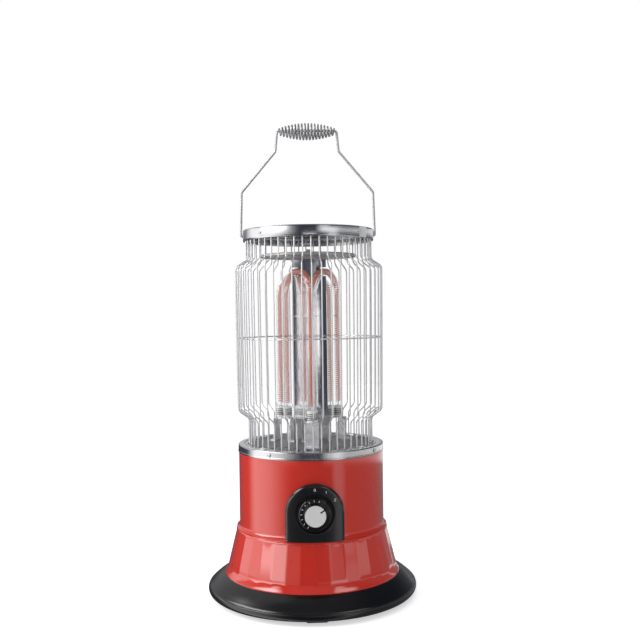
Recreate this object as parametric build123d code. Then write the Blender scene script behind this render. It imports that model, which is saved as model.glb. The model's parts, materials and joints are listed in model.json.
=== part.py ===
from build123d import *
import os
from math import cos, pi, radians, sin, sqrt, tan

# Free-standing carbon heater: a caged cluster of three U-shaped lamps on a drum, skirt and base ring.
# Millimetres, +Z up, origin on the floor under the axis. The front, with the knob, faces -Y.
# Angles are counted from the front, positive towards +X.

# Shared fits
touch = 0.05            # between pieces that are welded, clamped or pressed together
rest_gap = 0.3          # between pieces that only rest or pass by
running = 0.08          # radial clearance of a turning pin or shaft
overrun = 5             # how far a cutter runs past the wall it cuts
sheet = 1.0             # steel sheet of the housings
plate = 1.2             # thicker pressed plates
wire_sides = 6          # flats on the thin wires
bar_sides = 8           # flats on tubes, screws and the holes that they pass
hidden_sides = 36       # flats on the round plates inside the housings

# Feet
foot_height = 5.5
foot_width = 31
foot_depth = 18
foot_inset = 27         # from the edge of the base to the line of the feet
foot_count = 6
foot_chamfer = 1.5
foot_plug_radius = 4
foot_plug_length = 5

# Base ring
base_radius = 165
nose_radius = 9
nose_steps = 5
dome_angle = 35
base_wall = 3
base_spigot_height = 7
base_spigot_inset = 4.5
base_rim_width = 26.3   # from the edge of the base to the foot of the skirt

# Skirt
skirt_flare = 5.7
skirt_height = 71
skirt_flare_height = 15
skirt_lip = 8
facet_count = 36

# Drum
drum_radius = 114.5
drum_height = 118.5     # from the skirt seam to the lower edge of the collar band
drum_flare = 4.5
drum_flare_height = 7

# Collar ring and its screws
collar_height = 12
collar_shelf = 15.25    # width of the flat top
collar_screw_angles = (-35, 55, 145, 235)
screw_radius = 1.5
screw_head_radius = 3
screw_head_height = 1.6
screw_length = 7
screw_clearance = 0.1

# Guard cage
wire_count = 50
wire_radius = 1.1
neck_clearance = 1.2    # between the wires and the collar's opening
lower_neck_height = 40  # above the collar
lower_shoulder_rise = 12
lower_shoulder_step = 16.5
body_height = 226
body_taper = 2.5        # the body is this much wider in radius at its top
upper_shoulder_rise = 11.5
upper_shoulder_step = 17
upper_neck_height = 43.7
hoop_height_share = 0.506
strap_thickness = 1.5
upper_strap_height = 4
clip_width = 8
clip_reach = 9

# Cap and its brackets
cap_clearance = 2.1     # between the wires and the inside of the band
cap_band_height = 17
cap_sheet = 0.8
cap_cover = 13.6        # length of wire that stands inside the band
bracket_width = 8
cap_screw_drop = 8.5

# Floor plate and chassis pan, seen through the cage
pan_depth = 13
ear_width = 16
floor_drop = 1          # below the top of the collar
slot_margin = 5.35      # from the rim of the floor plate to the outer slots
slot_row_pitch = 19
slot_counts = (36, 24)  # outer row, inner row
slot_length = 13
slot_width = 4
grommet_radius = 2.5

# Reflector column and upper disc
column_corner_radius = 32
column_face_distance = 16
column_hollow = 3
column_sheet = 0.8
slot_clearance = 1.5    # round the lamp crowns where they pass through the column's corners
disc_radius = 77
disc_drop = 22.6        # below the lower edge of the cap band
disc_rim = 2.5
rod_radius = 3
rod_overhang = 4
nut_radius = 5.5
nut_height = 5

# Lamps: three U-shaped tubes set in a pinwheel
lamp_count = 3
lamp_radius = 5.5
lamp_wall = 0.9
lamp_bend = 36
bend_angles = (0, 15, 30, 45, 60, 75, 90)
lamp_drop = 21          # from the disc down to the crown of a tube
outer_leg_circle = 54
inner_leg_circle = 40.6
inner_leg_lead = 3.9
filament_radius = 4
filament_rise = 18.5    # bare lead inside the glass, below the filament
holder_radius = 7.4
holder_height = 18
holder_foot = 37.5      # lower end of the ceramic, above the floor plate
holder_socket = 12
shelf_width = 20
shelf_end = 9
shelf_tab = 8
lead_radius = 1
lead_drop = 30          # how far the leads hang under the chassis pan
clip_drop = 97          # from the disc down to the tube clips
clip_strip = 9
clip_rim = 2.2
clip_tab = 14

# Control panel, switch and knob
panel_width = 87.5
panel_top = 85          # above the skirt seam
panel_depth = 7
panel_bevel = 3.5
panel_boss_radius = 21
panel_boss_depth = 8
knob_level = 41         # above the skirt seam
recess_radius = 28.2
recess_depth = 4.2
knob_radius = 24.3
knob_skirt_height = 7
knob_grip_radius = 17
knob_grip_height = 9
knob_sides = 36         # fine flutes round the skirt and the grip
face_radius = 15.6
face_height = 1
pointer_angle = 57
pointer_width = 2.2
pointer_length = 7
shaft_radius = 3
shaft_inside = 14       # length of shaft inside the switch
bush_radius = 5
switch_width = 32
switch_depth = 22
switch_nut_radius = 7.5
switch_nut_height = 1.8
panel_screw_offset = 32
panel_screw_length = 6

# Underside and inner electrical parts
bottom_clearance = 2    # between the bottom plate and the feet
bottom_overlap = 7      # of the bottom plate on the base's flat underside
base_screw_angles = (30, 90, 150, 210, 270, 330)
vent_count = 6
vent_circle = 80
vent_length = 30
vent_width = 5
tilt_size = 24
tilt_height = 18
tilt_place = 60
block_length = 46
block_width = 18
block_height = 14
block_poles = 4
groove_width = 5
groove_depth = 9
cutout_radius = 8
cutout_height = 7
cutout_place = 26
gland_radius = 9
gland_flange = 3
gland_neck_radius = 6
gland_bore = 3.8
gland_tail = 12
gland_level = 22        # above the skirt seam

# Bail handle and coil grip
bail_radius = 2
bail_stand_off = 1      # between the cap band and the leg
bail_pivot_drop = 8.5   # below the top of the cap band
bail_leg_height = 70
bail_leg_lean = 2
bail_hip_height = 65
bail_hip_half_width = 50.5
bail_neck_height = 33
bail_top_half_width = 47.5
bail_pin_bend = 3
bail_shoulder_bend = 6
bail_top_bend = 4.5
pin_reach = 3.6         # pin length inside the cap band
retainer_radius = 4.2
retainer_width = 0.8
grip_turns = 17
grip_wire_radius = 1.3
grip_sides = 4
grip_margin = 3.5       # bare bar at each end of the coil
grip_belly = 12.4       # radius of the coil's wire line in the middle
grip_end = 4.7          # and at both ends

# Levels and radii that follow from the sizes above
foot_circle = base_radius - foot_inset
nose_r = base_radius - nose_radius
nose_z = foot_height + nose_radius
dome_start_r = nose_r + nose_radius * sin(radians(dome_angle))
dome_start_z = nose_z + nose_radius * cos(radians(dome_angle))
skirt_foot_radius = base_radius - base_rim_width
skirt_waist_radius = skirt_foot_radius - skirt_flare
bottom_radius = foot_circle - foot_depth / 2 - bottom_clearance
lip_radius = bottom_radius - bottom_overlap
base_screw_circle = (lip_radius + bottom_radius) / 2
base_top = dome_start_z + (dome_start_r - skirt_foot_radius) * tan(radians(dome_angle))
seam = base_top + skirt_height
skirt_top_radius = drum_radius + drum_flare
collar_foot = seam + drum_height
deck = collar_foot + collar_height
collar_radius = drum_radius + touch + sheet
collar_opening = collar_radius - collar_shelf
lower_neck_radius = collar_opening - neck_clearance - wire_radius
lower_body_radius = lower_neck_radius + lower_shoulder_step
upper_body_radius = lower_body_radius + body_taper
upper_neck_radius = upper_body_radius - upper_shoulder_step
cap_inner = upper_neck_radius + wire_radius + cap_clearance
cap_radius = cap_inner + cap_sheet
floor_top = deck - floor_drop
pan_floor = deck - pan_depth
pan_radius = drum_radius - sheet - touch
wire_pitch = 360 / wire_count
neck_top = deck + lower_neck_height
body_foot = neck_top + lower_shoulder_rise
body_top = body_foot + body_height
upper_neck = body_top + upper_shoulder_rise
wire_top = upper_neck + upper_neck_height
cap_foot = wire_top - cap_cover
cap_top = cap_foot + cap_band_height
lid_foot = cap_top - cap_sheet - plate
hoop_level = body_foot + body_height * hoop_height_share
hoop_wire_place = lower_body_radius + (upper_body_radius - lower_body_radius) * hoop_height_share
lower_strap_outer = lower_neck_radius - wire_radius - touch
upper_strap_outer = upper_neck_radius - wire_radius - touch
knob_z = seam + knob_level
panel_face = drum_radius + touch + panel_depth
recess_plane = panel_face - recess_depth
boss_end = drum_radius - panel_boss_depth
knob_back = recess_plane + 2 * rest_gap
pivot_z = cap_top - bail_pivot_drop
leg_x = cap_radius + bail_stand_off + bail_radius
disc_foot = cap_foot - disc_drop
column_top = disc_foot - plate
crown_level = disc_foot - lamp_drop - lamp_radius
clip_level = disc_foot - clip_drop
shelf_top = floor_top + holder_foot
socket_floor = shelf_top + holder_height - holder_socket
filament_foot = socket_floor + filament_rise
clip_angles = [side * (number + 0.5) * wire_pitch for side in (-1, 1) for number in (6, 18)]


def ring(corners):
    """Solid of revolution about the axis, from corners given as radius and height."""
    outline = Polyline([(r, 0, z) for r, z in corners], close=True)
    return revolve(make_face(outline), axis=Axis.Z)


def tube(outer, inner, foot, top):
    return ring([(inner, foot), (outer, foot), (outer, top), (inner, top)])


def bar(radius):
    """Outline of a round bar, drawn with flats inside its circle."""
    return RegularPolygon(radius, bar_sides)


def bore(radius):
    """Outline of a small round hole, drawn with flats outside its circle."""
    return RegularPolygon(radius, bar_sides, major_radius=False)


def upright(outline, foot, top, x=0, y=0):
    """Bar or hole parallel to the axis."""
    return Pos(x, y, foot) * extrude(outline, top - foot)


def outward(sketch, start, end, level=0):
    """Sketch seen from the front, extruded from one distance in front of the axis to another."""
    return Pos(0, 0, level) * extrude(Plane.XZ.offset(start) * sketch, end - start)


def block(width, near, far, foot, top):
    """Box centred on the front line, between two distances from the axis."""
    return Pos(0, -(near + far) / 2, (foot + top) / 2) * Box(width, far - near, top - foot)


def turned(solid, angles):
    return [Rot(0, 0, angle) * solid for angle in angles]


def steps(count, start=0):
    return [start + number * 360 / count for number in range(count)]


def spot(radius, angle):
    return (radius * sin(radians(angle)), -radius * cos(radians(angle)))


def save(name, *solids):
    flat = [one for solid in solids for one in solid.solids()]
    shape = flat[0] if len(flat) == 1 else Compound(children=flat)
    export_step(shape, os.path.join("parts", name + ".step"))


def screw(face, length, level):
    """Radial screw at the front, its head on a wall whose outer face is at the given distance."""
    seat = face + touch
    return outward(bar(screw_radius), face - length, seat, level) + outward(
        bar(screw_head_radius), seat, seat + screw_head_height, level
    )


def screw_hole(near, far, level):
    return outward(bore(screw_radius + screw_clearance), near, far, level)


def rubber_feet():
    foot = block(foot_width, foot_circle - foot_depth / 2, foot_circle + foot_depth / 2, 0, foot_height)
    foot = chamfer(foot.edges().group_by(Axis.Z)[0], foot_chamfer)
    plug = upright(bar(foot_plug_radius), foot_height, foot_height + foot_plug_length, 0, -foot_circle)
    save("rubber_feet", *turned(foot + plug, steps(foot_count)))


def base_ring():
    """Moulded ring: cone that runs into a round nose, flat underside, spigot inside the skirt."""
    spigot = skirt_foot_radius - base_spigot_inset
    hidden = spigot - base_wall
    spigot_top = base_top + base_spigot_height
    turn = 180 - dome_angle
    angles = [radians(turn * number / nose_steps) for number in range(nose_steps + 1)]
    nose = [(nose_r + nose_radius * sin(angle), nose_z - nose_radius * cos(angle)) for angle in angles]
    inner_nose = nose_radius - base_wall
    cheek = (nose_r + inner_nose * sin(radians(dome_angle)), nose_z + inner_nose * cos(radians(dome_angle)))
    hidden_z = base_top - base_wall
    slope_end = cheek[0] - (hidden_z - cheek[1]) / tan(radians(dome_angle))
    body = ring(
        [
            *nose,
            (skirt_foot_radius, base_top),
            (spigot, base_top),
            (spigot, spigot_top),
            (hidden, spigot_top),
            (hidden, hidden_z),
            (slope_end, hidden_z),
            cheek,
            (nose_r, foot_height + base_wall),
            (lip_radius, foot_height + base_wall),
            (lip_radius, foot_height),
        ]
    )
    low, high = foot_height - overrun, foot_height + base_wall + overrun
    plug_hole = upright(bore(foot_plug_radius + touch), low, high, 0, -foot_circle)
    tapped_hole = upright(bore(screw_radius + touch), low, high, 0, -base_screw_circle)
    body -= turned(plug_hole, steps(foot_count)) + turned(tapped_hole, base_screw_angles)
    save("base_ring", body)


def bottom_plate():
    disc = upright(RegularPolygon(bottom_radius, hidden_sides), foot_height - sheet, foot_height)
    hole = upright(bore(screw_radius + screw_clearance), 0, foot_height + overrun, 0, -base_screw_circle)
    vent = upright(Rectangle(vent_length, vent_width), 0, foot_height + overrun, 0, -vent_circle)
    disc -= turned(hole, base_screw_angles)
    disc -= turned(vent, steps(vent_count))
    save("bottom_plate", disc)


def base_screws():
    under = foot_height - sheet - touch
    one = upright(bar(screw_radius), under, under + screw_length - sheet, 0, -base_screw_circle)
    one += upright(bar(screw_head_radius), under - screw_head_height, under, 0, -base_screw_circle)
    save("base_screws", *turned(one, base_screw_angles))


def skirt():
    """Pressed skirt: flat facets above a flared foot, with an inward lip under the drum."""
    waist = base_top + skirt_flare_height
    levels = Plane.XY.offset(waist), Plane.XY.offset(seam)

    def facets(inset):
        radii = skirt_waist_radius - inset, skirt_top_radius - inset
        outlines = [level * RegularPolygon(radius, facet_count) for level, radius in zip(levels, radii)]
        return loft(outlines, ruled=True)

    foot = ring(
        [
            (skirt_foot_radius - sheet, base_top),
            (skirt_foot_radius, base_top),
            (skirt_waist_radius, waist),
            (skirt_waist_radius - sheet, waist),
        ]
    )
    lip = upright(RegularPolygon(skirt_top_radius - sheet / 2, facet_count), seam - sheet, seam)
    lip -= upright(Circle(skirt_top_radius - skirt_lip), seam - overrun, seam + overrun)
    save("skirt", foot + (facets(0) - facets(sheet)) + lip)


def drum_shell():
    inner = drum_radius - sheet
    top = deck - sheet - touch
    shell = ring(
        [
            (skirt_top_radius - sheet, seam),
            (skirt_top_radius, seam),
            (drum_radius, seam + drum_flare_height),
            (drum_radius, top),
            (inner, top),
            (inner, seam + drum_flare_height),
        ]
    )
    shell -= outward(Circle(panel_boss_radius + rest_gap), boss_end, panel_face, knob_z)
    near, far = inner - overrun, drum_radius + overrun
    shell -= [screw_hole(near, far, knob_z + side * panel_screw_offset) for side in (-1, 1)]
    shell -= Rot(0, 0, 180) * outward(bore(gland_neck_radius + touch), near, far, seam + gland_level)
    shell -= turned(collar_screw_hole(), collar_screw_angles)
    save("drum_shell", shell)


def collar_screw_hole():
    return screw_hole(pan_radius - overrun, collar_radius + overrun, collar_foot + collar_height / 2)


def collar_ring():
    band = collar_radius - sheet
    body = ring(
        [
            (collar_radius, collar_foot),
            (collar_radius, deck),
            (collar_opening, deck),
            (collar_opening, deck - sheet),
            (band, deck - sheet),
            (band, collar_foot),
        ]
    )
    save("collar_ring", body - turned(collar_screw_hole(), collar_screw_angles))
    one = screw(collar_radius, screw_length, collar_foot + collar_height / 2)
    save("collar_screws", *turned(one, collar_screw_angles))


def chassis_pan():
    """Steel plate inside the drum that carries the cage and the column, with four ears turned up."""
    body = upright(RegularPolygon(pan_radius, hidden_sides), pan_floor, pan_floor + sheet)
    far = sqrt(pan_radius ** 2 - (ear_width / 2) ** 2)
    ear = block(ear_width, far - sheet, far, pan_floor, deck - sheet - rest_gap)
    body += turned(ear, collar_screw_angles)
    body -= turned(collar_screw_hole(), collar_screw_angles)
    body -= upright(bore(rod_radius + touch), pan_floor - overrun, deck)
    body -= lead_holes(pan_floor - overrun, deck)
    save("chassis_pan", body)


def leg_places(angle):
    """Ground places of the outer and the inner leg that share a holder shelf."""
    return spot(outer_leg_circle, angle), spot(inner_leg_circle, angle + inner_leg_lead)


def lead_holes(foot, top):
    places = [place for angle in steps(lamp_count) for place in leg_places(angle)]
    return [upright(bore(grommet_radius), foot, top, *place) for place in places]


def floor_plate():
    """Round plate with two rows of radial slots, lying on the lower strap."""
    body = upright(Circle(lower_strap_outer), floor_top - sheet, floor_top)
    low, high = floor_top - overrun, floor_top + overrun
    outer_row = lower_strap_outer - slot_margin - slot_length / 2
    for circle, count in zip((outer_row, outer_row - slot_row_pitch), slot_counts):
        slot = upright(Rectangle(slot_width, slot_length), low, high, 0, -circle)
        body -= turned(slot, [(number + 1 / 2) * 360 / count for number in range(count)])
    body -= upright(bore(rod_radius + touch), low, high)
    body -= lead_holes(low, high)
    save("floor_plate", body)


def guard_wires():
    """Upright wires, each drawn in to a neck at both ends."""
    stops = [
        (lower_neck_radius, pan_floor + sheet + rest_gap),
        (lower_neck_radius, neck_top),
        (lower_body_radius, body_foot),
        (upper_body_radius, body_top),
        (upper_neck_radius, upper_neck),
        (upper_neck_radius, wire_top),
    ]
    path = Polyline([(0, -r, z) for r, z in stops])
    section = Plane(origin=path @ 0, z_dir=path % 0) * RegularPolygon(wire_radius, wire_sides)
    wire = sweep(section, path, transition=Transition.RIGHT)
    save("guard_wires", *turned(wire, steps(wire_count)))


def strap(outer, foot, top):
    """Flat hoop, bent by its welds into as many flats as there are wires."""
    return upright(hoop(outer) - hoop(outer - strap_thickness), foot, top)


def hoop(outer):
    return Rot(0, 0, -90) * RegularPolygon(outer, wire_count)


def guard_hoops():
    """Welding hoops inside the wires: a strap in the collar, a thin hoop, a strap in the cap."""
    lower = strap(lower_strap_outer, pan_floor + sheet, floor_top - sheet)
    upper = strap(upper_strap_outer, wire_top - upper_strap_height, wire_top)
    radius = hoop_wire_place - wire_radius - touch
    middle = hoop(radius) - hoop(radius - 2 * wire_radius)
    middle = upright(middle, hoop_level - wire_radius, hoop_level + wire_radius)
    save("guard_hoops", lower, middle, upper)


def cage_clips():
    """Hooks welded to the lower strap that pass between wires and lie on the collar."""
    near = lower_strap_outer + touch
    leg = block(clip_width, near, near + sheet, pan_floor + sheet + rest_gap, deck + touch + sheet)
    tongue = block(clip_width, near, near + clip_reach, deck + touch, deck + touch + sheet)
    save("cage_clips", *turned(leg + tongue, clip_angles))


def cap():
    """Lid inside a screwed band, on four brackets that stand on the upper strap."""
    band = tube(cap_radius, cap_inner, cap_foot, cap_top)
    near, far = cap_inner - overrun, cap_radius + overrun
    band -= turned(screw_hole(near, far, cap_top - cap_screw_drop), clip_angles)
    band -= turned(outward(Circle(bail_radius + running), near, far, pivot_z), (90, -90))
    save("cap_band", band)
    one = screw(cap_radius, screw_length - 2 * sheet, cap_top - cap_screw_drop)
    save("cap_screws", *turned(one, clip_angles))
    save("cap_lid", upright(Circle(cap_inner - touch), lid_foot, lid_foot + plate))
    top = lid_foot - touch
    far = sqrt(cap_inner ** 2 - (bracket_width / 2) ** 2) - touch
    shelf = block(bracket_width, upper_strap_outer - strap_thickness, far, wire_top + touch, top)
    flange = block(bracket_width, far - sheet, far, cap_foot, top)
    flange -= screw_hole(far - sheet - overrun, far + overrun, cap_top - cap_screw_drop)
    save("cap_brackets", *turned(shelf + flange, clip_angles))


def column_outline(inset):
    """Three-sided outline whose faces are drawn in between the corners."""
    tip_radius = column_corner_radius - 2 * inset
    corners = [spot(tip_radius, angle) for angle in steps(lamp_count, 180 / lamp_count)]
    middle_radius = column_face_distance - column_hollow - inset
    hollows = [spot(middle_radius, angle) for angle in steps(lamp_count, 360 / lamp_count)]
    arcs = [ThreePointArc(corners[i], hollows[i], corners[(i + 1) % 3]) for i in range(3)]
    return make_face(arcs)


def crown_line():
    """Ground places of the two legs of the front lamp, and the direction from one to the other."""
    first = Vector(*spot(outer_leg_circle, 0))
    last = Vector(*spot(inner_leg_circle, inner_leg_lead - 360 / lamp_count))
    return first, last, (last - first).normalized()


def crown_slots():
    """Cuts across the corners of the column that let the crowns of the lamps through."""
    first, last, across = crown_line()
    outwards = across.rotate(Axis.Z, 90)
    reach = first.dot(outwards) - lamp_radius - slot_clearance
    height = 2 * (lamp_radius + slot_clearance)
    middle = outwards * (reach + column_corner_radius / 2)
    middle.Z = crown_level
    slot = Plane(origin=middle, x_dir=across, z_dir=(0, 0, 1)) * Box(2 * overrun + 2 * column_corner_radius,
                                                                    column_corner_radius, height)
    return turned(slot, steps(lamp_count))


def reflector_column():
    wall = column_outline(0) - column_outline(column_sheet)
    save("reflector_column", upright(wall, floor_top, column_top) - crown_slots())
    cover = column_outline(0) - bore(rod_radius + touch)
    save("column_cap", upright(cover, column_top, column_top + plate))


def tie_rod():
    disc = disc_foot
    foot = pan_floor - nut_height - rod_overhang
    save("tie_rod", upright(bar(rod_radius), foot, disc + sheet + nut_height + rod_overhang))
    nut = RegularPolygon(nut_radius, 6) - bore(rod_radius + touch)
    seats = [pan_floor - nut_height, disc + sheet]
    save("rod_nuts", *[upright(nut, seat, seat + nut_height) for seat in seats])
    dish = ring(
        [
            (0, disc),
            (disc_radius - sheet, disc),
            (disc_radius - sheet, disc - disc_rim),
            (disc_radius, disc - disc_rim),
            (disc_radius, disc + sheet),
            (0, disc + sheet),
        ]
    )
    save("upper_reflector", dish - upright(bore(rod_radius + touch), disc - overrun, disc + overrun))


def hairpin(radius, foot):
    """Solid U from an outer leg over to the inner leg a third of a turn away."""
    first, last, across = crown_line()
    points = [Vector(first.X, first.Y, foot)]
    for angle in bend_angles:
        points.append(first + across * lamp_bend * (1 - cos(radians(angle))))
        points[-1].Z = crown_level - lamp_bend * (1 - sin(radians(angle)))
    for angle in reversed(bend_angles):
        points.append(last - across * lamp_bend * (1 - cos(radians(angle))))
        points[-1].Z = crown_level - lamp_bend * (1 - sin(radians(angle)))
    points.append(Vector(last.X, last.Y, foot))
    path = Polyline(*points)
    return sweep(Plane(origin=path @ 0, z_dir=path % 0) * bar(radius), path, transition=Transition.RIGHT)


def lamps():
    """Three glass tubes with a carbon filament in each."""
    names = ("front", "right", "left")
    glass_foot = socket_floor + touch
    glass = hairpin(lamp_radius, glass_foot) - hairpin(lamp_radius - lamp_wall, glass_foot)
    core = hairpin(filament_radius, filament_foot)
    for name, angle in zip(names, steps(lamp_count)):
        save("lamp_tube_" + name, Rot(0, 0, angle) * glass)
        save("carbon_filament_" + name, Rot(0, 0, angle) * core)


def lamp_mounts():
    """Ceramic sockets on three folded shelves, and the leads of the lamps."""
    places = leg_places(0)
    holder = upright(bar(holder_radius) - bore(lead_radius + touch), shelf_top, shelf_top + holder_height)
    holder -= upright(bore(lamp_radius + touch), socket_floor, shelf_top + holder_height + overrun)
    pair = [Pos(*place) * holder for place in places]
    save("ceramic_holders", *[one for solid in pair for one in turned(solid, steps(lamp_count))])
    near, far = inner_leg_circle - shelf_end, outer_leg_circle + shelf_end
    shelf = block(shelf_width, near, far, shelf_top - plate, shelf_top)
    for place in places:
        shelf -= upright(bore(lead_radius + rest_gap), shelf_top - overrun, shelf_top + overrun, *place)
    for start, tab in ((near, near - shelf_tab), (far - plate, far)):
        shelf += block(shelf_width, start, start + plate, floor_top, shelf_top)
        shelf += block(shelf_width, tab, tab + shelf_tab, floor_top, floor_top + plate)
    save("holder_shelves", *turned(shelf, steps(lamp_count)))
    lead_foot = pan_floor - lead_drop
    lead = RegularPolygon(lead_radius, wire_sides)
    leads = [upright(lead, lead_foot, filament_foot - touch, *place) for place in places]
    save("lamp_leads", *[one for solid in leads for one in turned(solid, steps(lamp_count))])


def tube_clips():
    """Strips that reach from the column faces round both legs."""
    places = leg_places(0)
    near = column_face_distance + rest_gap
    low, high = clip_level, clip_level + sheet
    strip = block(clip_strip, near, inner_leg_circle, low, high)
    strip += [upright(bar(lamp_radius + clip_rim), low, high, *place) for place in places]
    for place in places:
        strip -= upright(bore(lamp_radius + touch), low - overrun, high + overrun, *place)
    strip += block(clip_strip, near, near + sheet, low - clip_tab, low)
    save("tube_clips", *turned(strip, steps(lamp_count)))


def control_panel():
    """Arched moulding on the drum, with a round recess for the knob and a boss behind."""
    half = panel_width / 2
    spring_line = panel_top - half
    sides = Polyline((-half, spring_line), (-half, 0), (half, 0), (half, spring_line))
    arch = make_face(sides + ThreePointArc((half, spring_line), (0, panel_top), (-half, spring_line)))
    inner = drum_radius + touch
    foot = seam + rest_gap
    top = seam + panel_top + overrun
    wall = ring(
        [
            (skirt_top_radius + touch, foot),
            (panel_face, foot),
            (panel_face, top),
            (inner, top),
            (inner, seam + drum_flare_height),
        ]
    )
    panel = outward(arch, 0, panel_face + overrun, seam) & wall
    rim = panel.faces().filter_by(GeomType.CYLINDER).sort_by(SortBy.AREA)[-1].edges().sort_by(Axis.Z)[1:]
    panel = chamfer(rim, panel_bevel)
    panel += outward(Circle(panel_boss_radius), boss_end, inner + panel_bevel, knob_z)
    panel -= outward(Circle(recess_radius), recess_plane, panel_face + overrun, knob_z)
    panel -= outward(bore(bush_radius + touch), boss_end - overrun, panel_face, knob_z)
    for side in (-1, 1):
        level = knob_z + side * panel_screw_offset
        panel -= outward(bore(screw_radius + touch), boss_end, inner + panel_screw_length - sheet, level)
    save("control_panel", panel)
    inside = drum_radius - sheet - touch
    one = outward(bar(screw_radius), inside, inside + panel_screw_length)
    one += outward(bar(screw_head_radius), inside - screw_head_height, inside)
    save("panel_screws", *[Pos(0, 0, knob_z + side * panel_screw_offset) * one for side in (-1, 1)])


def switch_and_knob():
    back = boss_end - touch
    nut_foot = recess_plane + touch
    nut_top = nut_foot + switch_nut_height
    body = outward(Rectangle(switch_width, switch_width), back - switch_depth, back, knob_z)
    body += outward(bar(bush_radius), back, nut_top, knob_z)
    body -= outward(Circle(shaft_radius + running), back - shaft_inside - rest_gap, panel_face, knob_z)
    save("rotary_switch", body)
    nut = RegularPolygon(switch_nut_radius, 6) - bore(bush_radius + touch)
    save("switch_nut", outward(nut, nut_foot, nut_top, knob_z))
    grip_foot = knob_back + knob_skirt_height
    grip_top = grip_foot + knob_grip_height
    shaft_tip = grip_top - face_height - sheet
    save("switch_shaft", outward(Circle(shaft_radius), back - shaft_inside, shaft_tip, knob_z))
    knob = outward(RegularPolygon(knob_radius, knob_sides), knob_back, grip_foot, knob_z)
    knob = chamfer(knob.edges().group_by(Axis.Y)[0], face_height)
    knob += outward(RegularPolygon(knob_grip_radius, knob_sides), grip_foot, grip_top, knob_z)
    knob -= outward(bore(switch_nut_radius + rest_gap), knob_back - overrun, nut_top + rest_gap, knob_z)
    knob -= outward(bore(shaft_radius + touch), knob_back - overrun, shaft_tip + touch, knob_z)
    seat = RegularPolygon(face_radius + touch, knob_sides)
    knob -= outward(seat, grip_top - face_height, grip_top + overrun, knob_z)
    save("knob_skirt", knob)
    notch = Rot(0, 0, -pointer_angle) * Pos(0, face_radius) * Rectangle(pointer_width, 2 * pointer_length)
    disc = RegularPolygon(face_radius, knob_sides) - notch
    save("knob_face", outward(disc, grip_top - face_height + touch, grip_top, knob_z))


def inner_parts():
    """Terminal block, thermal cut-out and tilt switch, and the bush where the mains lead enters."""
    under = pan_floor - touch
    low = under - block_height
    near, far = cutout_place, cutout_place + block_width
    body = block(block_length, near, far, low, under)
    groove = block(groove_width, near - overrun, far + overrun, low - overrun, low + groove_depth)
    pitch = block_length / block_poles
    middle = (block_poles - 1) / 2
    body -= [Pos(pitch * (pole - middle), 0, 0) * groove for pole in range(block_poles)]
    save("terminal_block", Rot(0, 0, 180) * body)
    save("thermal_cutout", upright(bar(cutout_radius), under - cutout_height, under, -cutout_place, 0))
    base = foot_height + touch
    save("tilt_switch", upright(Rectangle(tilt_size, tilt_size), base, base + tilt_height, tilt_place, 0))
    level = seam + gland_level
    face = drum_radius + touch
    neck = outward(bar(gland_neck_radius), face - sheet - gland_tail / 2, face + gland_tail, level)
    neck += outward(bar(gland_radius), face, face + gland_flange, level)
    neck -= outward(bore(gland_bore), face - gland_tail, face + gland_tail + overrun, level)
    save("cord_bush", Rot(0, 0, 180) * neck)


def bail_stops():
    """Corners of the handle wire on the +X side, from the pin end to the top bar."""
    hip = pivot_z + bail_leg_height
    waist = hip + bail_hip_height
    top = waist + bail_neck_height
    return [
        (cap_inner - pin_reach, pivot_z),
        (leg_x, pivot_z),
        (leg_x - bail_leg_lean, hip),
        (bail_hip_half_width, waist),
        (bail_top_half_width, top),
    ]


def bail_handle():
    right = [(x, 0, z) for x, z in bail_stops()]
    left = [(-x, y, z) for x, y, z in reversed(right)]
    bends = [bail_pin_bend, bail_shoulder_bend, bail_shoulder_bend, bail_top_bend]
    path = FilletPolyline(right + left, radius=bends + bends[::-1])
    save("bail_handle", sweep(Plane(origin=path @ 0, z_dir=path % 0) * bar(bail_radius), path))
    far = cap_inner - 2 * rest_gap
    washer = bar(retainer_radius) - bore(bail_radius + touch)
    save("handle_retainers", *turned(outward(washer, far - retainer_width, far, pivot_z), (90, -90)))


def arc_pair(start, start_way, end, end_way):
    """Two arcs that leave one point and reach the next along the given directions."""
    span, ways = end - start, start_way + end_way
    a, b, c = ways.dot(ways) - 4, -2 * span.dot(ways), span.dot(span)
    reach = (-b - sqrt(b * b - 4 * a * c)) / (2 * a)
    first, second = start + start_way * reach, end - end_way * reach
    middle = (first + second) / 2
    way = (middle - first).normalized()
    return [Edge.make_tangent_arc(start, start_way, middle), Edge.make_tangent_arc(middle, way, end)]


def grip_coil():
    """Open coil that hangs on the top bar by its two narrow ends, full in the middle."""
    centre = bail_stops()[-1][1] - (grip_end - grip_wire_radius - bail_radius - touch)
    half = bail_top_half_width - grip_margin

    def point(turn):
        share = 2 * turn / grip_turns - 1
        radius = grip_end + (grip_belly - grip_end) * (1 - share * share)
        return Vector(half * share, radius * sin(2 * pi * turn), centre + radius * cos(2 * pi * turn))

    def way(turn):
        small_share = 0.001
        return (point(turn + small_share) - point(turn - small_share)).normalized()

    edges = []
    for number in range(2 * grip_turns):
        start, end = number / 2, (number + 1) / 2
        edges += arc_pair(point(start), way(start), point(end), way(end))
    path = Wire(edges)
    section = Plane(origin=path @ 0, z_dir=path % 0) * RegularPolygon(grip_wire_radius, grip_sides)
    save("grip_coil", sweep(section, path, clean=False))
    samples = 6
    points = [edge @ (number / samples) for edge in edges for number in range(samples)]
    most_of_a_turn = 3 * samples
    least = min((p - q).length for i, p in enumerate(points) for q in points[i + most_of_a_turn:])
    print("grip coil: least gap to itself", round(least - 2 * grip_wire_radius, 2), "mm")


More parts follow.
